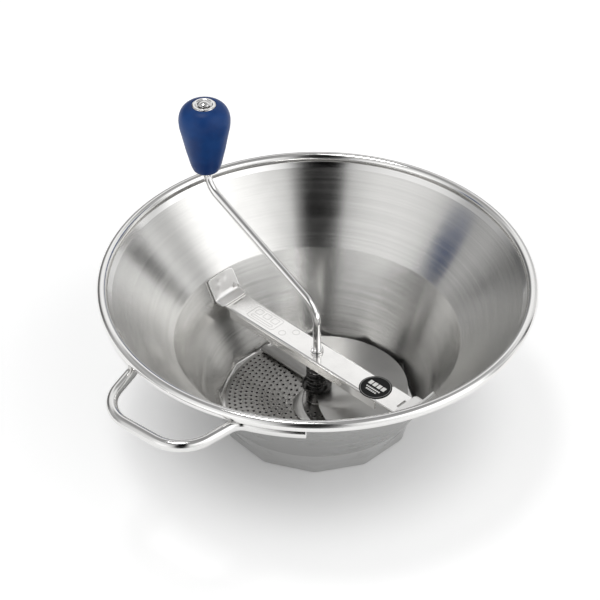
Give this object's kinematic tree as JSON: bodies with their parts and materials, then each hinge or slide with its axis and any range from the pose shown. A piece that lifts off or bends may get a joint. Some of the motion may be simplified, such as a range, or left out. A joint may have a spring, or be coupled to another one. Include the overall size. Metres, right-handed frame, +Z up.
{
  "type": "rotary food mill",
  "caption": "Hand food mill: flared bowl with loop handle, perforated sieve, helical pressing blade on a bent crank with a free-turning knob, sprung cross bar hooked under wall keepers.",
  "frame": {"origin": "centre of the 12-sided foot, on the surface that it stands on; the crank shaft's axis is Z", "axes": "+Z up along the shaft, +X and +Y horizontal; the loop handle points to azimuth -127.5 degrees and the crank arm rests at azimuth 133.5 degrees"},
  "size_m": [0.31, 0.321, 0.212],
  "materials": {
    "brushed_bowl": "circular brushed satin inside, satin outside, polished rim",
    "handle_steel": "polished wire",
    "weld_steel": "ground weld",
    "keeper_steel": "bright pressed sheet",
    "sieve_steel": "perforated satin sheet",
    "dull_steel": "turned steel",
    "spring_steel": "dark spring wire",
    "polished_bar": "polished sheet",
    "badge_black": null,
    "polished_rod": "polished rod",
    "blade_steel": "polished sheet",
    "knob_blue": "fine grained moulding"
  },
  "bodies": {
    "bowl": {"bowl": "brushed_bowl", "loop_handle": "handle_steel", "handle_welds": "weld_steel", "bar_keeper_left": "keeper_steel", "bar_keeper_right": "keeper_steel", "keeper_rivets": "keeper_steel", "sieve_disc": "sieve_steel", "sieve_eyelet": "sieve_steel"},
    "spring_seat": {"upper_spring_washer": "dull_steel", "pressure_spring": "spring_steel"},
    "bar": {"cross_bar": "polished_bar", "bar_bush": "polished_bar", "bar_badge": "badge_black"},
    "lift": {"lower_spring_cup": "spring_steel"},
    "crank": {"crank_rod": "polished_rod", "shaft_stop_ring": "polished_rod", "blade": "blade_steel", "sweeper_strip": "blade_steel", "blade_hub": "dull_steel", "hub_pin": "dull_steel", "knob_stop_ring": "dull_steel", "rod_end_rivet": "polished_rod"},
    "knob": {"knob_grip": "knob_blue", "knob_sleeve": "dull_steel", "knob_end_ring": "polished_rod"}
  },
  "joints": [
    {"name": "bar_press", "type": "slide", "parent": "bowl", "child": "spring_seat", "axis": [0, 0, -1], "range_m": [0, 0.003], "stiffness_N_per_m": 3000, "springref_m": -0.008, "deforming": ["pressure_spring"]},
    {"name": "bar_twist", "type": "hinge", "parent": "spring_seat", "child": "bar", "pos_m": [0, 0, 0.0525], "axis": [0, 0, 1], "range_deg": [0, 24]},
    {"name": "blade_lift", "type": "slide", "parent": "bowl", "child": "lift", "axis": [0, 0, 1], "range_m": [0, 0.0035], "stiffness_N_per_m": 3000, "springref_m": -0.008},
    {"name": "crank_spin", "type": "hinge", "parent": "lift", "child": "crank", "pos_m": [0, 0, 0.0525], "axis": [0, 0, 1], "continuous": true},
    {"name": "knob_spin", "type": "hinge", "parent": "crank", "child": "knob", "pos_m": [-0.08081, 0.08516, 0.18], "axis": [0, 0, 1], "continuous": true}
  ]
}
